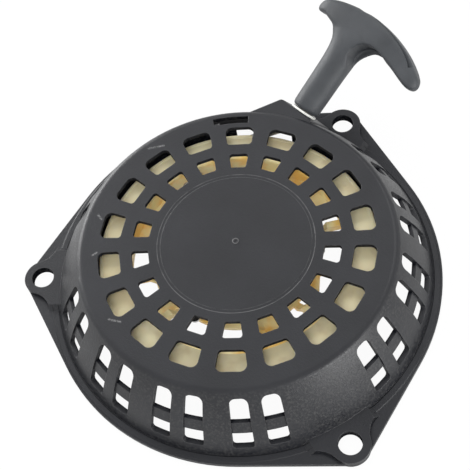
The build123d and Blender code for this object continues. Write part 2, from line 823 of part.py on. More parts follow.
friction_radius = 12.2
friction_wire = 0.6
friction_rise = 1.76
with BuildPart() as friction_spring:
    with BuildLine() as friction_path:
        coil(friction_radius, 0, 12, friction_rise)
    with BuildSketch(Plane(origin=(friction_radius, 0, 0), z_dir=coil_dir(friction_radius, 0, friction_rise))):
        Circle(friction_wire)
    sweep(path=friction_path.wires()[0])
friction_length = friction_path.wires()[0].length
print("friction spring gap", round(least_gap(friction_path.wires()[0], 2 * friction_wire, 40), 3))
print("friction spring volume over section times length",
      round(friction_spring.part.volume / (pi * friction_wire**2 * friction_length), 4))
friction_spring.part = Location((0, 0, retainer_bottom + retainer_thickness + 0.65)) * friction_spring.part
friction_spring.part.label = "friction_spring"
export_step(friction_spring.part, "parts/friction_spring.step")

leg_radius = 2.9
leg_wire = 0.25
leg_rise = 0.95
with BuildPart() as pawl_spring:
    with BuildLine() as pawl_spring_path:
        low_end = coil_point(leg_radius, 90, leg_rise)
        high_end = coil_point(leg_radius, 540, leg_rise)
        low_dir = coil_dir(leg_radius, 90, leg_rise)
        high_dir = coil_dir(leg_radius, 540, leg_rise)
        Line(low_end - low_dir * 8.6, low_end)
        coil(leg_radius, 90, 5, leg_rise)
        Line(high_end, high_end + high_dir * 8.2)
    with BuildSketch(Plane(origin=low_end - low_dir * 8.6, z_dir=low_dir)):
        Circle(leg_wire)
    sweep(path=pawl_spring_path.wires()[0])
pawl_spring_length = pawl_spring_path.wires()[0].length
print("pawl spring gap", round(least_gap(pawl_spring_path.wires()[0], 2 * leg_wire, 12), 3))
print("pawl spring volume over section times length",
      round(pawl_spring.part.volume / (pi * leg_wire**2 * pawl_spring_length), 4))
for letter, turn in (("a", 0), ("b", 180)):
    placed = pawl_plane(turn, pawl_bottom + arm_step + 0.75 - leg_rise / 4).location * pawl_spring.part
    placed.label = "pawl_spring_" + letter
    export_step(placed, "parts/pawl_spring_" + letter + ".step")

# Rope from the reel to the grip: along the tangent, round a bend, then out through the eyelet
lead_start_run = 24.5
pull_bend = heading_dir.get_angle(pull_dir)
bend_run = rope_bend_radius * tan(radians(pull_bend / 2))
lead_start = at_tangent(rope_outer_radius) + heading_dir * lead_start_run
bend_start = bend_point - heading_dir * bend_run
bend_end = bend_point + pull_dir * bend_run
lead_end = grip_seat + pull_dir * (knot_seat + 1.0)
with BuildPart() as rope_lead:
    with BuildLine() as lead_path:
        Line(lead_start, bend_start)
        TangentArc(bend_start, bend_end, tangent=heading_dir)
        Line(bend_end, lead_end)
    with BuildSketch(Plane(origin=lead_start, z_dir=heading_dir)):
        Circle(rope_radius)
    sweep(path=lead_path.wires()[0])
    rope_lead.part.label = "rope_lead"
export_step(rope_lead.part, "parts/rope_lead.step")
print("rope lead length", round(lead_path.wires()[0].length, 1))
print("rope lead volume over section times length",
      round(rope_lead.part.volume / (pi * rope_radius**2 * lead_path.wires()[0].length), 4))
print("pull direction", pull_dir, "tangent azimuth", round(tangent_azimuth, 2), "bend point", bend_point)

# Grip: an unequal T, thick in the middle and thinner to its ends
grip_plane = Plane(origin=grip_seat, x_dir=across_dir, z_dir=upper_dir)
with BuildPart() as pull_grip:
    with BuildSketch(grip_plane.offset(-9)):
        with BuildLine():
            Spline((-27.4, 51.0), (-25.0, 55.0), (-18.3, 58.1), (-8.7, 60.2), (0.5, 61.0), (9.3, 60.7), (21.6, 58.4),
                   (34.6, 53.6), (45.3, 46.9), (47.5, 43.0))
            ThreePointArc((47.5, 43.0), (46.6, 40.4), (43.5, 39.4))
            Spline((43.5, 39.4), (28.1, 44.2), (18.9, 46.0), (11.9, 41.8), (7.6, 24.0),
                   tangents=[(-1, 0.25), (-0.05, -1)])
            Line((7.6, 24.0), (-7.4, 24.0))
            Spline((-7.4, 24.0), (-9.5, 40.8), (-15.6, 47.0), (-24.6, 47.9), tangents=[(-0.05, 1), (-1, 0)])
            ThreePointArc((-24.6, 47.9), (-27.0, 48.9), (-27.4, 51.0))
        make_face()
    extrude(amount=18)
    with BuildSketch(Plane(origin=grip_seat, x_dir=across_dir, z_dir=-pull_dir)):
        with BuildLine():
            ThreePointArc((-29.5, 5.3), (6.0, 7.9), (49.5, 5.1))
            Line((49.5, 5.1), (49.5, -5.1))
            ThreePointArc((49.5, -5.1), (6.0, -7.9), (-29.5, -5.3))
            Line((-29.5, -5.3), (-29.5, 5.3))
        make_face()
    extrude(amount=-70, mode=Mode.INTERSECT)
    with BuildSketch(Plane(origin=grip_seat - across_dir * 40, x_dir=pull_dir, z_dir=across_dir)):
        with BuildLine():
            ThreePointArc((20, 1.5), (34, 5.4), (50, 9))
            Polyline((50, 9), (66, 9), (66, -9), (50, -9))
            ThreePointArc((50, -9), (34, -5.4), (20, -1.5))
            Line((20, -1.5), (20, 1.5))
        make_face()
    extrude(amount=100, mode=Mode.INTERSECT)
    broad_edges = [edge for edge in pull_grip.edges() if abs((edge.center() - grip_seat).dot(upper_dir)) > 1.2]
    fillet(broad_edges, radius=grip_rounding)
    # round stem, with an eased rim towards the eyelet
    with BuildSketch(Plane(origin=grip_seat, x_dir=upper_dir, z_dir=upper_dir.cross(pull_dir))):
        with BuildLine():
            Polyline((0, 0), (6.6, 0))
            ThreePointArc((6.6, 0), (7.5, 0.4), (7.8, 1.3))
            Polyline((7.8, 1.3), (8.15, 44.0), (0, 44.0), (0, 0))
        make_face()
    revolve(axis=Axis(grip_seat, pull_dir))
    # bore for the rope, pocket for its knot, and the groove along the crown
    with BuildSketch(Plane(origin=grip_seat - pull_dir, x_dir=across_dir, z_dir=pull_dir)):
        Circle(rope_radius + 0.4)
    extrude(amount=60, mode=Mode.SUBTRACT)
    with BuildSketch(Plane(origin=grip_seat + pull_dir * knot_seat, x_dir=across_dir, z_dir=pull_dir)):
        Circle(5.0)
    extrude(amount=20, mode=Mode.SUBTRACT)
    with BuildSketch(grip_plane.offset(-1.3)):
        with BuildLine():
            ThreePointArc((0, 55.5), (20, 53.3), (38, 46.8))
            Polyline((38, 46.8), (44, 60), (10, 70), (0, 70), (0, 55.5))
        make_face()
    extrude(amount=2.6, mode=Mode.SUBTRACT)
    pull_grip.part.label = "pull_grip"
export_step(pull_grip.part, "parts/pull_grip.step")

# Washer and knot at the end of the rope, in the grip's pocket
with BuildPart() as grip_washer:
    with BuildSketch(Plane(origin=grip_seat + pull_dir * knot_seat, x_dir=across_dir, z_dir=pull_dir)):
        Circle(4.7)
        Circle(rope_radius + 0.05, mode=Mode.SUBTRACT)
    extrude(amount=1.0)
    grip_washer.part.label = "grip_washer"
export_step(grip_washer.part, "parts/grip_washer.step")

with BuildPart() as grip_knot:
    with BuildSketch(Plane(origin=lead_end, x_dir=upper_dir, z_dir=upper_dir.cross(pull_dir))):
        with BuildLine():
            Polyline((0, 0.02), (3.2, 0.02))
            ThreePointArc((3.2, 0.02), (4.5, 3.1), (3.2, 6.2))
            Polyline((3.2, 6.2), (0, 6.2), (0, 0.02))
        make_face()
    revolve(axis=Axis(lead_end, pull_dir))
    grip_knot.part.label = "grip_knot"
export_step(grip_knot.part, "parts/grip_knot.step")
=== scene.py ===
import bpy
import bmesh
import math
from mathutils import Matrix, Vector


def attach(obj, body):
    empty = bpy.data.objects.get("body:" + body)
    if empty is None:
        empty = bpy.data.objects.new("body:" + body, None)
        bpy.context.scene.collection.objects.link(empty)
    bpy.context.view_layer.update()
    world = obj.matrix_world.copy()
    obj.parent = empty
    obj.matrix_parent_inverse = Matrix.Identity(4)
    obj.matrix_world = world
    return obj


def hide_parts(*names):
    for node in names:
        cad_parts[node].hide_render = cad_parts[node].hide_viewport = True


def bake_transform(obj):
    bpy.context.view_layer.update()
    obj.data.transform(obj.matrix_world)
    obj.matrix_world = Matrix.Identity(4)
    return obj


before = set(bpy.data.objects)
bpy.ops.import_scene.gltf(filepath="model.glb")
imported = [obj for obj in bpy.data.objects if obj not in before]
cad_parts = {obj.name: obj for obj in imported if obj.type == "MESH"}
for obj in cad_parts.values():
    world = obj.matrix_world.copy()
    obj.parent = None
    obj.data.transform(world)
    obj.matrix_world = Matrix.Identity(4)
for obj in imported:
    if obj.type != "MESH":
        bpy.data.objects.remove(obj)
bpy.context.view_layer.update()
print("frame loaded:", len(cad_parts), "nodes")

mm = 0.001
ropeLay = 5.0 * mm  # length of one crossing of the braid


def joinedDirection(azimuth, rise=0.0):
    a, e = math.radians(azimuth), math.radians(rise)
    return Vector((math.cos(a) * math.cos(e), math.sin(a) * math.cos(e), math.sin(e)))


def meshPiece(name, bm, smooth=True):
    mesh = bpy.data.meshes.new(name)
    bm.normal_update()
    bm.to_mesh(mesh)
    bm.free()
    piece = bpy.data.objects.new(name, mesh)
    bpy.context.collection.objects.link(piece)
    if smooth:
        mesh.shade_smooth()
    return piece


def applied(piece):
    # bakes the modifiers into the mesh
    graph = bpy.context.evaluated_depsgraph_get()
    graph.update()
    mesh = bpy.data.meshes.new_from_object(piece.evaluated_get(graph))
    piece.modifiers.clear()
    piece.data = mesh
    return piece


def dress(piece, material, body=None, stands=()):
    piece.data.materials.clear()
    piece.data.materials.append(material)
    if body:
        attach(piece, body)
    if stands:
        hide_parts(*stands)
    return piece


class Nodes:
    # short way to write a node tree
    def __init__(self, name):
        self.material = bpy.data.materials.new(name)
        self.material.use_nodes = True
        self.tree = self.material.node_tree
        self.tree.nodes.clear()
        self.out = self.add("ShaderNodeOutputMaterial")
        self.shader = self.add("ShaderNodeBsdfPrincipled")
        self.link(self.shader.outputs[0], self.out.inputs["Surface"])
        coordinates = self.add("ShaderNodeTexCoord")
        self.place, self.facing = coordinates.outputs["Object"], coordinates.outputs["Normal"]

    def add(self, kind, **values):
        node = self.tree.nodes.new(kind)
        for key, value in values.items():
            setattr(node, key, value)
        return node

    def link(self, a, b):
        self.tree.links.new(a, b)

    def set(self, **values):
        for key, value in values.items():
            self.shader.inputs[key.replace("_", " ")].default_value = value

    def noise(self, size, detail=3.0, rough=0.55, stretch=None):
        node = self.add("ShaderNodeTexNoise")
        node.inputs["Scale"].default_value = 1 / size
        node.inputs["Detail"].default_value = detail
        node.inputs["Roughness"].default_value = rough
        place = self.place
        if stretch:
            mapping = self.add("ShaderNodeMapping")
            mapping.inputs["Scale"].default_value = stretch
            self.link(self.place, mapping.inputs[0])
            place = mapping.outputs[0]
        self.link(place, node.inputs["Vector"])
        return node.outputs["Fac"]

    def radius(self):
        # distance from the axis
        return self.vector("DISTANCE", self.vector("MULTIPLY", self.place, (1, 1, 0)), (0, 0, 0))

    def tinted(self, source, low, high):
        # base colour between two (position, colour) stops
        self.link(self.ramp(source, [low, high]), self.shader.inputs["Base Color"])

    def ramp(self, source, stops):
        node = self.add("ShaderNodeValToRGB")
        bar = node.color_ramp
        while len(bar.elements) < len(stops):
            bar.elements.new(0.5)
        for element, (at, colour) in zip(bar.elements, stops):
            element.position = at
            element.color = (*colour, 1)
        self.link(source, node.inputs[0])
        return node.outputs["Color"]

    def ranged(self, source, low, high, fromLow=0.0, fromHigh=1.0):
        node = self.add("ShaderNodeMapRange")
        node.inputs["From Min"].default_value = fromLow
        node.inputs["From Max"].default_value = fromHigh
        node.inputs["To Min"].default_value = low
        node.inputs["To Max"].default_value = high
        self.link(source, node.inputs["Value"])
        return node.outputs["Result"]

    def mixed(self, factor, a, b):
        # factor is a socket; a and b are sockets or plain colours
        node = self.add("ShaderNodeMix", data_type="RGBA")
        self.link(factor, node.inputs[0])
        for socket, value in ((node.inputs[6], a), (node.inputs[7], b)):
            if isinstance(value, bpy.types.NodeSocket):
                self.link(value, socket)
            else:
                socket.default_value = (*value, 1)
        return node.outputs[2]

    def maths(self, kind, a, b=0.0):
        node = self.add("ShaderNodeMath", operation=kind)
        for socket, value in zip(node.inputs, (a, b)):
            if isinstance(value, bpy.types.NodeSocket):
                self.link(value, socket)
            else:
                socket.default_value = value
        return node.outputs[0]

    def vector(self, kind, a, b):
        node = self.add("ShaderNodeVectorMath", operation=kind)
        for socket, value in zip(node.inputs, (a, b)):
            if isinstance(value, bpy.types.NodeSocket):
                self.link(value, socket)
            else:
                socket.default_value = value
        return node.outputs["Value" if kind in ("DOT_PRODUCT", "DISTANCE") else "Vector"]

    def lineDistance(self, first, last, place):
        # distance to the line between two points, seen along Z
        flatPlace = self.vector("MULTIPLY", place, (1, 1, 0))
        way = last - first
        share = self.vector("DOT_PRODUCT", self.vector("SUBTRACT", flatPlace, first), way)
        share = self.maths("DIVIDE", share, way.length_squared)
        share = self.ranged(share, 0, 1)
        spread = self.add("ShaderNodeCombineXYZ")
        for socket in spread.inputs:
            self.link(share, socket)
        nearest = self.vector("ADD", self.vector("MULTIPLY", spread.outputs[0], way), first)
        return self.vector("DISTANCE", flatPlace, nearest)

    def edges(self, radius):
        # 1 on the sharp edges, 0 on the faces
        rounded = self.add("ShaderNodeBevel", samples=6)
        rounded.inputs["Radius"].default_value = radius
        plain = self.add("ShaderNodeNewGeometry").outputs["Normal"]
        return self.ranged(self.vector("DOT_PRODUCT", rounded.outputs[0], plain), 1, 0, 0.80, 0.985)

    def nooks(self, reach):
        # 1 in the open, 0 deep in a corner
        shade = self.add("ShaderNodeAmbientOcclusion", samples=8)
        shade.inputs["Distance"].default_value = reach
        return shade.outputs["AO"]

    def bump(self, *layers, radius=0.0):
        # layers are (height, strength, distance); radius rounds the sharp edges
        normal = None
        if radius:
            edge = self.add("ShaderNodeBevel", samples=6)
            edge.inputs["Radius"].default_value = radius
            normal = edge.outputs[0]
        for height, strength, distance in layers:
            node = self.add("ShaderNodeBump")
            node.inputs["Strength"].default_value = strength
            node.inputs["Distance"].default_value = distance
            self.link(height, node.inputs["Height"])
            if normal:
                self.link(normal, node.inputs["Normal"])
            normal = node.outputs[0]
        self.link(normal, self.shader.inputs["Normal"])


blackCover = {
    "dark": (0.0040, 0.0045, 0.0068),
    "pale": (0.0088, 0.0096, 0.0128),
    "dusty": (0.040, 0.040, 0.040),
    # the next two colours are painted highlights: pale lines on the ring groove's edges, and pale edges
    # that are partly wear from rubbing
    "line": (0.10, 0.10, 0.103),
    "wearAndHighlight": (0.085, 0.085, 0.088),
    "rough": (0.33, 0.46),
    "edge": 0.0005,
    "rings": ((1.45, 2.5), (38.1, 0.35), (39.7, 1.0)),  # mm from the axis, and strength; the lines at 38.1 and 39.7 mm are painted highlights on the groove's edges
    "bead": (99.3, 101.9, 4.6),  # mm, bead on the flange round the wall's foot, and its top
    "scuffs": [
        (154.0, 72.4, 159.6, 76.0),
        (195.8, 74.2, 197.6, 71.6),
        (244.6, 73.4, 248.3, 69.6),
        (213.4, 70.4, 214.6, 72.6),
    ],
}


def coverPlastic():
    n = Nodes("coverPlastic")
    point = n.add("ShaderNodeSeparateXYZ")
    n.link(n.place, point.inputs[0])
    facing = n.add("ShaderNodeSeparateXYZ")
    n.link(n.facing, facing.inputs[0])
    flat = n.ranged(facing.outputs["Z"], 0, 1, 0.55, 0.9)  # 1 on the plate, 0 on the wall
    radius = n.radius()
    colour = n.ramp(n.noise(0.03, 5), [(0.32, blackCover["dark"]), (0.72, blackCover["pale"])])
    # mottled grain of the wall, finer on the plate
    mottle = n.noise(0.0012, 4, 0.65)
    sloped = n.maths("SUBTRACT", 1, flat)
    dusty = n.maths("MULTIPLY", n.ranged(mottle, 0, 0.8, 0.48, 0.68), sloped)
    colour = n.mixed(dusty, colour, blackCover["dusty"])
    # painted edge highlight mixed with wear from rubbing: the edges that stand proud are painted pale, and
    # the reflection is turned down in corners as painted shade
    nooks = n.nooks(0.03)
    n.link(n.ranged(nooks, 0.0, 0.5, 0.48, 0.64), n.shader.inputs["Specular IOR Level"])
    litRubbedEdges = n.maths("MULTIPLY", n.edges(0.0006), n.ranged(n.noise(0.003, 3), 0.25, 0.9, 0.38, 0.62))
    colour = n.mixed(n.maths("MULTIPLY", litRubbedEdges, nooks), colour, blackCover["wearAndHighlight"])
    # fine pale lines: painted highlights along the edges of the ring groove at 38.1 and 39.7 mm, a pale
    # ring on the gate mark, and pale scuff marks
    wearAndHighlight = n.ranged(n.noise(0.006, 3), 0.25, 1.0, 0.36, 0.62)
    for ring, strength in blackCover["rings"]:
        away = n.maths("ABSOLUTE", n.maths("SUBTRACT", radius, ring * mm))
        line = n.ranged(away, strength, 0, 0.00008, 0.0003)
        line = n.maths("MULTIPLY", line, n.maths("MULTIPLY", wearAndHighlight, flat))
        colour = n.mixed(line, colour, blackCover["line"])
    for scuff in blackCover["scuffs"]:
        first, last = (joinedDirection(scuff[i]) * scuff[i + 1] * mm for i in (0, 2))
        away = n.lineDistance(first, last, n.place)
        ragged = n.ranged(n.noise(0.0007, 4, 0.8), 0.0, 1.0, 0.42, 0.62)
        mark = n.maths("MULTIPLY", n.ranged(away, 1, 0, 0.0001, 0.0008), n.maths("MULTIPLY", ragged, flat))
        colour = n.mixed(n.maths("MULTIPLY", mark, 0.75), colour, (0.30, 0.30, 0.30))
    n.link(colour, n.shader.inputs["Base Color"])
    rough = n.ranged(n.noise(0.012, 5), *blackCover["rough"])
    coarse = n.maths("MULTIPLY", n.ranged(mottle, -0.12, 0.16, 0.3, 0.7), sloped)
    # faces turned to the axis are left dull, as the mould leaves them
    outwards = n.vector("DOT_PRODUCT", n.facing, n.vector("MULTIPLY", n.place, (1, 1, 0)))
    dull = n.ranged(outwards, 0.5, 0, -0.03, 0.01)
    n.link(n.maths("ADD", dull, n.maths("ADD", rough, coarse)), n.shader.inputs["Roughness"])
    grain = n.noise(0.00055, 2)
    inner, outer, under = (edge * mm for edge in blackCover["bead"])
    bead = n.ranged(radius, 0, 1, inner - 0.0003, inner)
    bead = n.maths("MULTIPLY", bead, n.ranged(radius, 1, 0, outer, outer + 0.0006))
    bead = n.maths("MULTIPLY", bead, n.maths("LESS_THAN", point.outputs["Z"], under))
    waves = n.noise(0.02, 2)
    layers = [(bead, 0.8, 0.0007), (grain, 0.20, 0.0002), (mottle, 0.30, 0.0005), (waves, 0.05, 0.0006)]
    n.bump(*layers, radius=blackCover["edge"])
    return n.material


blackGrip = {
    "dark": (0.028, 0.031, 0.035),
    "pale": (0.050, 0.054, 0.060),
    "rough": (0.44, 0.62),
    "grain": 0.0007,
}


def gripPlastic():
    n = Nodes("gripPlastic")
    streak = n.noise(0.004, 4, stretch=(1, 0.25, 1))
    n.tinted(n.noise(0.02, 4), (0.3, blackGrip["dark"]), (0.75, blackGrip["pale"]))
    n.link(n.ranged(streak, *blackGrip["rough"]), n.shader.inputs["Roughness"])
    grain = n.noise(blackGrip["grain"], 3, 0.7)
    n.bump((grain, 0.30, 0.0003), (streak, 0.15, 0.0008))
    return n.material


creamReel = {
    "pale": (0.82, 0.75, 0.50),
    "warm": (0.72, 0.61, 0.37),
    "stain": (0.46, 0.33, 0.16),
    # inner and amber are painted light: the lit look of the groove's inner wall
    "inner": (0.99, 0.85, 0.48),
    "amber": (0.95, 0.58, 0.14),
    "rough": (0.36, 0.50),
    "wall": 0.0573,
    "through": 0.11,  # painted glow: emission on the groove's inner wall, painted light standing in for light that the thin walls let in
}


def creamNylon():
    n = Nodes("creamNylon")
    radius = n.radius()
    colour = n.ramp(n.noise(0.03, 3), [(0.3, creamReel["pale"]), (0.8, creamReel["warm"])])
    colour = n.mixed(n.ranged(n.noise(0.009, 2), 0, 0.3, 0.54, 0.70), colour, creamReel["stain"])
    # painted light on the groove's inner wall: painted paler as if lit from below, with amber patches
    # painted as light shining into the thin nylon, and a faint emission glow
    inside = n.ranged(radius, 1, 0, creamReel["wall"] - 0.0002, creamReel["wall"])
    patch = n.ranged(n.noise(0.012, 2), 0.05, 0.9, 0.42, 0.62)
    paintedLitInner = n.mixed(patch, creamReel["inner"], creamReel["amber"])
    n.link(n.mixed(inside, colour, paintedLitInner), n.shader.inputs["Base Color"])
    n.link(paintedLitInner, n.shader.inputs["Emission Color"])
    n.link(n.maths("MULTIPLY", inside, creamReel["through"]), n.shader.inputs["Emission Strength"])
    n.link(n.ranged(n.noise(0.01, 4), *creamReel["rough"]), n.shader.inputs["Roughness"])
    n.set(Subsurface_Weight=0.25, Subsurface_Radius=(0.005, 0.004, 0.002), Subsurface_Scale=1.0)
    n.bump((n.noise(0.0012, 3), 0.06, 0.0002), radius=0.0004)
    return n.material


def whiteNylon():
    n = Nodes("whiteNylon")
    n.tinted(n.noise(0.01, 3), (0.3, (0.80, 0.80, 0.77)), (0.8, (0.72, 0.72, 0.68)))
    n.link(n.ranged(n.noise(0.004, 3), 0.32, 0.45), n.shader.inputs["Roughness"])
    n.bump((n.noise(0.001, 2), 0.05, 0.0002), radius=0.0002)
    return n.material


def blackNylon():
    n = Nodes("blackNylon")
    n.tinted(n.noise(0.01, 4), (0.3, (0.016, 0.016, 0.017)), (0.8, (0.030, 0.030, 0.031)))
    n.link(n.ranged(n.noise(0.003, 4), 0.38, 0.55), n.shader.inputs["Roughness"])
    n.bump((n.noise(0.0006, 2), 0.12, 0.0002), radius=0.0003)
    return n.material


def steelFinish(name, dark, pale, rough, streak):
    n = Nodes(name)
    n.tinted(n.noise(0.004, 4, stretch=streak), (0.3, dark), (0.75, pale))
    n.link(n.ranged(n.noise(0.002, 4, stretch=streak), *rough), n.shader.inputs["Roughness"])
    n.set(Metallic=1.0)
    n.bump((n.noise(0.0008, 3, stretch=streak), 0.06, 0.0001), radius=0.0002)
    return n.material


def ropeCord(name, way=None):
    # way is given for a straight cord that stretches: the lay then follows the place instead of U
    n = Nodes(name)
    uv = n.add("ShaderNodeUVMap").outputs[0]
    parts = n.add("ShaderNodeSeparateXYZ")
    n.link(uv, parts.inputs[0])
    along = n.maths("MULTIPLY", parts.outputs[0], math.tau)
    if way:
        along = n.maths("MULTIPLY", n.vector("DOT_PRODUCT", n.place, way), math.tau / ropeLay)
    about = n.maths("MULTIPLY", parts.outputs[1], math.tau * 4)
    # painted light and shade of the braid: pale on the strands' crowns, dark in the gaps between them; the
    # bump carries only fine noise
    rise = n.maths("SINE", n.maths("ADD", along, about))
    fall = n.maths("SINE", n.maths("SUBTRACT", along, about))
    plait = n.maths("MAXIMUM", rise, fall)
    n.tinted(n.ranged(plait, 0, 1, -0.6, 1), (0.1, (0.20, 0.17, 0.12)), (0.8, (0.60, 0.56, 0.46)))
    n.link(n.ranged(n.noise(0.0005, 3), 0.7, 0.95), n.shader.inputs["Roughness"])
    n.set(Sheen_Weight=0.2)
    n.bump((n.noise(0.00025, 2), 0.25, 0.0001))
    return n.material


materials = {
    "cover": coverPlastic(),
    "grip": gripPlastic(),
    "cream": creamNylon(),
    "white": whiteNylon(),
    "nylon": blackNylon(),
    "zinc": steelFinish("zincPlate", (0.50, 0.50, 0.50), (0.68, 0.68, 0.66), (0.26, 0.42), (1, 1, 0.3)),
    "spring": steelFinish("springSteel", (0.22, 0.23, 0.26), (0.38, 0.39, 0.43), (0.28, 0.40), (0.3, 1, 1)),
    "rope": ropeCord("ropeCord"),
}
print("materials made:", len(materials))

nodeFinish = {
    "starter_cover": "cover",
    "rope_eyelet": "white",
    "post_sleeve": "white",
    "thrust_washer": "zinc",
    "spring_cover": "zinc",
    "spring_cover_screws": "zinc",
    "recoil_spring": "spring",
    "centre_washer": "zinc",
    "centre_screw": "zinc",
    "rope_lead": "rope",
    "rope_reel": "cream",
    "rope_winding": "rope",
    "reel_knot": "rope",
    "pawl_pins": "zinc",
    "pawl_spring_a": "spring",
    "pawl_spring_b": "spring",
    "pawl_retainer": "nylon",
    "friction_spring": "spring",
    "pawl_a": "nylon",
    "pawl_b": "nylon",
    "grip_washer": "zinc",
    "grip_knot": "rope",
    "pull_grip": "grip",
}
for nodeName, finish in nodeFinish.items():
    node = bpy.data.objects.get(nodeName)
    if node is None:
        print("no object for", nodeName)
        continue
    for slot in node.material_slots:
        slot.material = materials[finish]
print("solids dressed")


grip = {
    "seat": Vector((-13.8, 92.0, 28.1)) * mm,  # middle of the stem's lower end
    "azimuth": 76.3,
    "rise": 31.6,
    "stemEnd": 7.8,
    "stemTop": 8.2,
    "crown": [
        (-27.4, 51.6), (-25, 55), (-18.3, 58.1), (-8.7, 60.2), (0.5, 61),
        (9.3, 60.7), (21.6, 58.4), (34.6, 53.6), (45.3, 46.9), (47.6, 43.4),
    ],
    "under": [
        (-27.4, 50.4), (-25.7, 48.5), (-20.2, 48.6), (-15.6, 47.2), (-8, 45), (11, 44.6),
        (18.9, 45.8), (28.1, 44.1), (42.2, 39.6), (46.4, 40.6), (47.6, 42.9),
    ],
    "flare": [
        (0, -7.7, 7.8), (2, -7.9, 8.0), (24, -8.0, 8.6), (32, -8.2, 9.0), (37, -8.6, 9.6),
        (41, -9.8, 11.8), (44.5, -12.4, 15.0), (47, -14.5, 18.5), (50, -17.0, 23.0), (54, -18.0, 26.0),
    ],
    "longRim": [
        (8.6, 31.0), (7.2, 34.0), (6.0, 37.2), (6.3, 41.0), (7.9, 44.0),
        (10.7, 46.4), (14.6, 47.5), (18.8, 47.3), (23.0, 46.2), (28.5, 43.6),
    ],
    "longFloor": -4.2,
    "shortHollow": [
        (-8.2, 31, 0.3, 1.5), (-8.8, 36.5, 2.2, 4.0), (-10.4, 42, 3.2, 4.6),
        (-13, 45.4, 3.2, 4.6), (-17, 47.3, 2.0, 3.8), (-21, 48.4, 0.3, 1.5),
    ],
    "thick": [(-27.5, 5.0), (-12, 7.4), (5, 7.9), (22, 7.4), (47.6, 5.0)],
    "knotSeat": 50.0,
    "pocket": 5.0,
    "slot": (7.0, 39.4),
    "slotSide": 4.6,
    "slotWide": 1.9,
    "slotDeep": 5.0,
}
pull = joinedDirection(grip["azimuth"], grip["rise"])
across = joinedDirection(grip["azimuth"] - 90)
upper = across.cross(pull)
gripFrame = Matrix((across, pull, upper)).transposed().to_4x4()
gripFrame.translation = grip["seat"]  # local x is across, y is along the pull, z is square to both


def along(points, x):
    # value at x on a run of points, eased between them
    for (x0, y0), (x1, y1) in zip(points, points[1:]):
        if x <= x1:
            break
    t = min(max((x - x0) / (x1 - x0), 0), 1)
    i = points.index((x0, y0))
    before = points[max(i - 1, 0)]
    after = points[min(i + 2, len(points) - 1)]
    slope0 = (y1 - before[1]) / (x1 - before[0])
    slope1 = (after[1] - y0) / (after[0] - x0)
    run = x1 - x0
    return ((2 * t**3 - 3 * t**2 + 1) * y0 + (t**3 - 2 * t**2 + t) * run * slope0
            + (3 * t**2 - 2 * t**3) * y1 + (t**3 - t**2) * run * slope1)


def loft(sections, name):
    # closed skin over rings of points
    bm = bmesh.new()
    rings = [[bm.verts.new(point) for point in ring] for ring in sections]
    for low, high in zip(rings, rings[1:]):
        for i in range(len(low)):
            j = (i + 1) % len(low)
            bm.faces.new((low[i], low[j], high[j], high[i]))
    bm.faces.new(reversed(rings[0]))
    bm.faces.new(rings[-1])
    bmesh.ops.recalc_face_normals(bm, faces=bm.faces)
    return meshPiece(name, bm)


def roundedRing(centre, sideways, upwards, wide, tall, square=2.6, count=40):
    ring = []
    for i in range(count):
        t = math.tau * i / count
        c, s = math.cos(t), math.sin(t)
        out = wide * math.copysign(abs(c) ** (2 / square), c)
        rise = tall * math.copysign(abs(s) ** (2 / square), s)
        ring.append(centre + sideways * out + upwards * rise)
    return ring


def cutter(shape, solver="EXACT", kind="DIFFERENCE"):
    def cut(piece):
        modifier = piece.modifiers.new("cut", "BOOLEAN")
        modifier.operation, modifier.object, modifier.solver = kind, shape, solver
        applied(piece)
        bpy.data.objects.remove(shape)
    return cut


def remeshed(piece, size, smooth=0):
    modifier = piece.modifiers.new("remesh", "REMESH")
    modifier.mode, modifier.voxel_size = "VOXEL", size
    if smooth:
        soften = piece.modifiers.new("soften", "SMOOTH")
        soften.factor, soften.iterations = 0.5, smooth
    applied(piece)
    piece.data.shade_smooth()


def gripBar():
    # vertical slices across the bar, closed to a point at both tips
    sections = []
    first, last = grip["crown"][0][0], grip["crown"][-1][0]
    steps = 56
    for i in range(steps + 1):
        x = first + (last - first) * (1 - math.cos(math.pi * i / steps)) / 2
        top, low = along(grip["crown"], x), along(grip["under"], x)
        high = along(grip["thick"], x)
        ends = min((x - first) / 7, (last - x) / 7, 1)
        high *= math.sqrt(max(1 - (1 - ends) ** 2, 0.02))
        middle = Vector((x, (top + low) / 2, 0))
        wide = (top - low) / 2 + 0.05
        sections.append(roundedRing(middle, Vector((0, 1, 0)), Vector((0, 0, 1)), wide, high, 4.4))
    return loft(sections, "pullGrip")


def gripStem():
    sections = []
    levels = [0, 0.35, 1.0, 2.0] + list(range(4, 56, 2))
    for y in levels:
        left = along([(row[0], row[1]) for row in grip["flare"]], y)
        right = along([(row[0], row[2]) for row in grip["flare"]], y)
        rim = {0: 1.3, 0.35: 0.55, 1.0: 0.15}.get(y, 0)
        growth = (grip["stemTop"] - grip["stemEnd"]) * min(y, 30) / 30
        tall = grip["stemEnd"] + growth - max(y - 30, 0) * 0.02
        square = 2.0 + max(y - 30, 0) * 0.045
        middle = Vector(((left + right) / 2, y, 0))
        wide = (right - left) / 2 - rim
        sections.append(roundedRing(middle, Vector((1, 0, 0)), Vector((0, 0, 1)), wide, tall - rim, square))
    return loft(sections, "stem")


def tubePiece(name, low, high, radius, sides=40):
    bm = bmesh.new()
    bmesh.ops.create_cone(bm, cap_ends=True, segments=sides, radius1=radius, radius2=radius, depth=1)
    axis = high - low
    turned = axis.to_track_quat("Z", "Y").to_matrix().to_4x4()
    bm.transform(Matrix.Translation((low + high) / 2) @ turned @ Matrix.Diagonal((1, 1, axis.length, 1)))
    return meshPiece(name, bm)


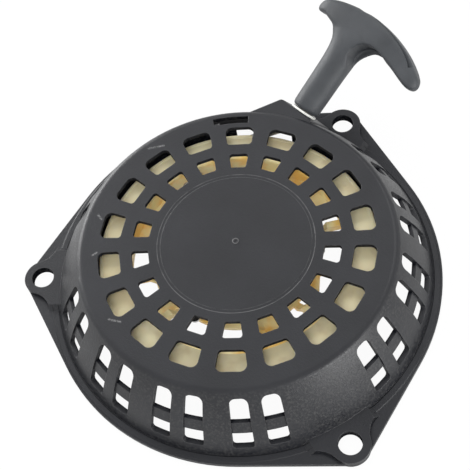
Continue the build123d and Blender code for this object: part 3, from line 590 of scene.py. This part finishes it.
def fingerHollow(stations):
    # groove round the inside of the bar, behind a thin front rim
    sections = []
    for i, (x, y, deep, wide) in enumerate(stations):
        before, after = stations[max(i - 1, 0)], stations[min(i + 1, len(stations) - 1)]
        way = Vector((after[0] - before[0], after[1] - before[1], 0)).normalized()
        side = Vector((-way.y, way.x, 0))
        sections.append(roundedRing(Vector((x, y, -0.6)), side, Vector((0, 0, 1)), deep, wide, 2.8, 24))
    return loft(sections, "hollow")


def prism(outline, low, high, name):
    bm = bmesh.new()
    floor = [bm.verts.new((x, y, low)) for x, y in outline]
    roof = [bm.verts.new((x, y, high)) for x, y in outline]
    bm.faces.new(reversed(floor))
    bm.faces.new(roof)
    for i in range(len(outline)):
        j = (i + 1) % len(outline)
        bm.faces.new((floor[i], floor[j], roof[j], roof[i]))
    bmesh.ops.recalc_face_normals(bm, faces=bm.faces)
    return meshPiece(name, bm, smooth=False)


def frontNotch():
    # the front rim is cut back between stem and long arm, down to a floor behind it
    rim = grip["longRim"]
    curve = [rim[0]]
    for (x0, y0), (x1, y1) in zip(rim, rim[1:]):
        curve.append(((x0 + x1) / 2, (y0 + y1) / 2))
        curve.append((x1, y1))
    return prism(curve + [(34, 36), (24, 28), (14, 26)], grip["longFloor"], 12, "notch")


def crownSlot():
    # long slit along the front shoulder of the crown, shallower to its ends
    near, far = grip["slot"]
    steps = 24
    top, low = [], []
    for i in range(steps + 1):
        x = near + (far - near) * i / steps
        crown = along(grip["crown"], x)
        deep = grip["slotDeep"] * min(1, (far - x) / 3 + 0.35, (x - near) / 4 + 0.35)
        top.append((x + 2, crown + 4))
        low.append((x, crown - deep))
    middle, half = grip["slotSide"], grip["slotWide"] / 2
    return prism(low + top[::-1], middle - half, middle + half, "slot")


def makeGrip():
    piece = gripBar()
    cutter(gripStem(), kind="UNION")(piece)
    remeshed(piece, 0.6, 6)
    cutter(frontNotch())(piece)
    cutter(fingerHollow(grip["shortHollow"]))(piece)
    remeshed(piece, 0.5, 5)
    cutter(crownSlot())(piece)
    cutter(tubePiece("pocket", Vector((0, grip["knotSeat"], 0)), Vector((0, 70, 0)), grip["pocket"]))(piece)
    cutter(tubePiece("bore", Vector((0, -5, 0)), Vector((0, 55, 0)), 2.3))(piece)
    remeshed(piece, 0.38, 2)
    piece.data.transform(gripFrame @ Matrix.Scale(mm, 4))
    return dress(piece, materials["grip"], "grip", ["pull_grip"])


makeGrip()
print("grip made")


rope = {
    "radius": 1.9,
    "pitch": 4.25,
    "outer": 68.4,
    "halfTurns": 4,
    "height": 22.9,
    "knotBend": 8.0,
    "knotRun": 9.0,
    "bend": 7.0,
    "leadFrom": 24.5,
}
bendAt = grip["seat"] / mm - pull * ((grip["seat"].z / mm - rope["height"]) / pull.z)
leadTurn = math.asin(rope["outer"] / math.hypot(bendAt.x, bendAt.y))
heading = math.degrees(math.atan2(bendAt.y, bendAt.x) - leadTurn)
ahead, outward = joinedDirection(heading), joinedDirection(heading + 90)


def onTangent(reach):
    return outward * reach + Vector((0, 0, rope["height"]))


def arcPoints(centre, start, turn, steps):
    # steps along a flat arc about Z, without its first point
    arm = start - centre
    return [centre + Matrix.Rotation(turn * (i + 1) / steps, 3, "Z") @ arm for i in range(steps)]


def cordTube(name, points, radius, sides=14):
    # tube on a line of points; U counts lays along it and V goes round
    bm = bmesh.new()
    uvLayer = bm.loops.layers.uv.new("braid")
    tangents = [(q - p).normalized() for p, q in zip(points, points[1:])]
    tangents.append(tangents[-1])
    normal = tangents[0].orthogonal().normalized()
    rings, runs, run = [], [], 0.0
    for i, point in enumerate(points):
        tangent = (tangents[max(i - 1, 0)] + tangents[i]).normalized()
        normal = (normal - tangent * normal.dot(tangent)).normalized()
        side = tangent.cross(normal)
        if i:
            run += (point - points[i - 1]).length
        runs.append(run * mm / ropeLay)
        ring = []
        for k in range(sides):
            t = math.tau * k / sides
            ring.append(bm.verts.new(point + (normal * math.cos(t) + side * math.sin(t)) * radius))
        rings.append(ring)
    for i in range(len(rings) - 1):
        for k in range(sides):
            m = (k + 1) % sides
            face = bm.faces.new((rings[i][k], rings[i + 1][k], rings[i + 1][m], rings[i][m]))
            corners = ((runs[i], k), (runs[i + 1], k), (runs[i + 1], k + 1), (runs[i], k + 1))
            for loop, (u, v) in zip(face.loops, corners):
                loop[uvLayer].uv = (u, v / sides)
    for ring in (rings[0], rings[-1]):
        bm.faces.new(ring)
    bmesh.ops.recalc_face_normals(bm, faces=bm.faces)
    bm.transform(Matrix.Scale(mm, 4))
    return meshPiece(name, bm)


def windingPoints():
    side = -1 if rope["halfTurns"] % 2 else 1
    reach = rope["outer"] - rope["halfTurns"] * rope["pitch"] / 2
    inner = onTangent(side * reach)
    centre = onTangent(side * (reach - rope["knotBend"]))
    bendEnd = centre + Matrix.Rotation(math.radians(45), 3, "Z") @ (inner - centre)
    knotWay = Matrix.Rotation(math.radians(135), 3, "Z") @ (inner - centre).normalized()
    points = [bendEnd + knotWay * rope["knotRun"] * share for share in (1, 0.75, 0.5, 0.25, 0)]
    points += arcPoints(centre, bendEnd, math.radians(-45), 6)
    for _ in range(rope["halfTurns"]):
        points += arcPoints(onTangent(-side * rope["pitch"] / 4), points[-1], -math.pi, 56)
        side = -side
    points += [points[-1] + ahead * step for step in (1.3, 2.6, 4.0)]
    return points, knotWay


def knotPiece(name, at, way, size, body, node):
    # an overhand knot drawn up tight
    turnTo = way.to_track_quat("Z", "Y").to_matrix()
    points = []
    for i in range(73):
        t = math.tau * i / 72
        x = math.sin(t) + 2 * math.sin(2 * t)
        y = math.cos(t) - 2 * math.cos(2 * t)
        z = -math.sin(3 * t) * 1.3
        points.append(at + turnTo @ (Vector((x, y, z)) * size["loop"] + Vector((0, 0, size["middle"]))))
    piece = cordTube(name, points[:-1], size["cord"])
    return dress(piece, materials["rope"], body, [node])


points, knotWay = windingPoints()
dress(cordTube("ropeWinding", points, rope["radius"]), materials["rope"], "reel", ["rope_winding"])
knotPiece("reelKnot", points[0], knotWay, {"loop": 0.62, "middle": 3.1, "cord": 1.35}, "reel", "reel_knot")
gripKnotAt = grip["seat"] / mm + pull * (grip["knotSeat"] + 1.0)
knotPiece("gripKnot", gripKnotAt, pull, {"loop": 0.92, "middle": 3.1, "cord": 1.5}, "rope_end", "grip_knot")


def leadPoints():
    turn = rope["bend"] * math.tan(ahead.angle(pull) / 2)
    start = onTangent(rope["outer"]) + ahead * rope["leadFrom"]
    first, last = bendAt - ahead * turn, bendAt + pull * turn
    end = gripKnotAt
    middle = bendAt + (pull - ahead).normalized() * rope["bend"] / math.cos(ahead.angle(pull) / 2)
    line = [start.lerp(first, i / 8) for i in range(9)]
    arm, goal = first - middle, last - middle
    for i in range(1, 9):
        line.append(middle + arm.lerp(goal, i / 8).normalized() * rope["bend"])
    line += [last.lerp(end, i / 40) for i in range(1, 41)]
    return line, last, end


line, straightFrom, straightTo = leadPoints()
lead = cordTube("ropeLead", line, rope["radius"])
dress(lead, ropeCord("leadCord", pull), None, ["rope_lead"])
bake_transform(lead)
print("rope and knots made")


room = {"fill": 0.62, "seen": 0.95}


def floorMaterial():
    n = Nodes("paleFloor")
    n.tinted(n.noise(0.4, 2), (0.3, (0.80, 0.80, 0.80)), (0.7, (0.84, 0.84, 0.84)))
    n.link(n.ranged(n.noise(0.05, 2), 0.85, 0.95), n.shader.inputs["Roughness"])
    n.set(Specular_IOR_Level=0.0)
    rays = n.add("ShaderNodeLightPath")
    seen = n.maths("MAXIMUM", rays.outputs["Is Glossy Ray"], rays.outputs["Is Transmission Ray"])
    seen = n.maths("MAXIMUM", rays.outputs["Is Camera Ray"], seen)
    glow = n.add("ShaderNodeEmission")
    glow.inputs["Color"].default_value = (1, 1, 1, 1)
    mix = n.add("ShaderNodeMixShader")
    n.link(n.maths("MULTIPLY", seen, room["seen"]), mix.inputs[0])
    n.link(n.shader.outputs[0], mix.inputs[1])
    n.link(glow.outputs[0], mix.inputs[2])
    # clear from underneath, so the open side can be looked at
    below = n.add("ShaderNodeNewGeometry").outputs["Backfacing"]
    clear = n.add("ShaderNodeMixShader")
    n.link(n.maths("MULTIPLY", below, rays.outputs["Is Camera Ray"]), clear.inputs[0])
    n.link(mix.outputs[0], clear.inputs[1])
    n.link(n.add("ShaderNodeBsdfTransparent").outputs[0], clear.inputs[2])
    n.link(clear.outputs[0], n.out.inputs["Surface"])
    return n.material


floorShape = bmesh.new()
bmesh.ops.create_grid(floorShape, x_segments=1, y_segments=1, size=6)
floor = meshPiece("floor", floorShape, smooth=False)
floor.location.z = -0.0003
floor.data.materials.append(floorMaterial())

world = bpy.context.scene.world or bpy.data.worlds.new("world")
bpy.context.scene.world = world
world.use_nodes = True
tree = world.node_tree
tree.nodes.clear()
worldOut = tree.nodes.new("ShaderNodeOutputWorld")
worldMix = tree.nodes.new("ShaderNodeMixShader")
rays = tree.nodes.new("ShaderNodeLightPath")
fill = tree.nodes.new("ShaderNodeBackground")
white = tree.nodes.new("ShaderNodeBackground")
fill.inputs[0].default_value = (1, 1, 1, 1)
fill.inputs[1].default_value = room["fill"]
white.inputs[0].default_value = (1, 1, 1, 1)
plain = [tree.nodes.new("ShaderNodeMath") for _ in range(2)]
for step, other in zip(plain, ("Is Glossy Ray", "Is Transmission Ray")):
    step.operation = "MAXIMUM"
    tree.links.new(rays.outputs[other], step.inputs[1])
tree.links.new(rays.outputs["Is Camera Ray"], plain[0].inputs[0])
tree.links.new(plain[0].outputs[0], plain[1].inputs[0])
tree.links.new(plain[1].outputs[0], worldMix.inputs[0])
tree.links.new(fill.outputs[0], worldMix.inputs[1])
tree.links.new(white.outputs[0], worldMix.inputs[2])
tree.links.new(worldMix.outputs[0], worldOut.inputs[0])

lamps = {
    "key": {"at": (-0.42, 0.42, 1.10), "size": 0.55, "power": 4.5, "shine": False},
    "front": {"at": (0.25, -0.60, 1.00), "size": 0.6, "power": 5.5, "shine": False},
    "side": {"at": (0.95, -0.14, 0.20), "size": 0.5, "power": 6, "shine": True},
    "left": {"at": (-0.95, 0.20, 0.24), "size": 0.6, "power": 8.5, "shine": True},
    "far": {"at": (0.02, 0.72, 0.98), "size": 0.4, "power": 1.6, "shine": True},
}
for name, lamp in lamps.items():
    light = bpy.data.lights.new(name, "AREA")
    light.size = lamp["size"]
    light.energy = lamp["power"]
    holder = bpy.data.objects.new(name, light)
    bpy.context.collection.objects.link(holder)
    holder.location = lamp["at"]
    holder.visible_glossy = lamp["shine"]
    holder.rotation_euler = (Vector((0, 0, 0.02)) - Vector(lamp["at"])).to_track_quat("-Z", "Y").to_euler()

shot = {
    "azimuth": 43.055,
    "elevation": 59.176,
    "roll": -12.988,
    "away": 0.5116,
    "lens": 78.70,
    "shift": (-0.00115, 0.0130),
}
topCentre = Vector((0, 0, 37.6 * mm))
a, e, r = (math.radians(shot[key]) for key in ("azimuth", "elevation", "roll"))
back = Vector((math.sin(a) * math.cos(e), -math.cos(a) * math.cos(e), math.sin(e)))
right = Vector((math.cos(a), math.sin(a), 0))
up = back.cross(right)
rolledRight = right * math.cos(r) + up * math.sin(r)
rolledUp = up * math.cos(r) - right * math.sin(r)
camera = bpy.data.objects.new("camera", bpy.data.cameras.new("camera"))
bpy.context.collection.objects.link(camera)
turned = Matrix((rolledRight, rolledUp, back)).transposed().to_4x4()
camera.matrix_world = Matrix.Translation(topCentre + back * shot["away"]) @ turned
camera.data.lens = shot["lens"]
camera.data.sensor_width = 36
camera.data.shift_x, camera.data.shift_y = shot["shift"]
camera.data.clip_start, camera.data.clip_end = 0.01, 20
bpy.context.scene.camera = camera
bpy.context.scene.view_settings.view_transform = "Standard"
print("room, lights and camera ready")
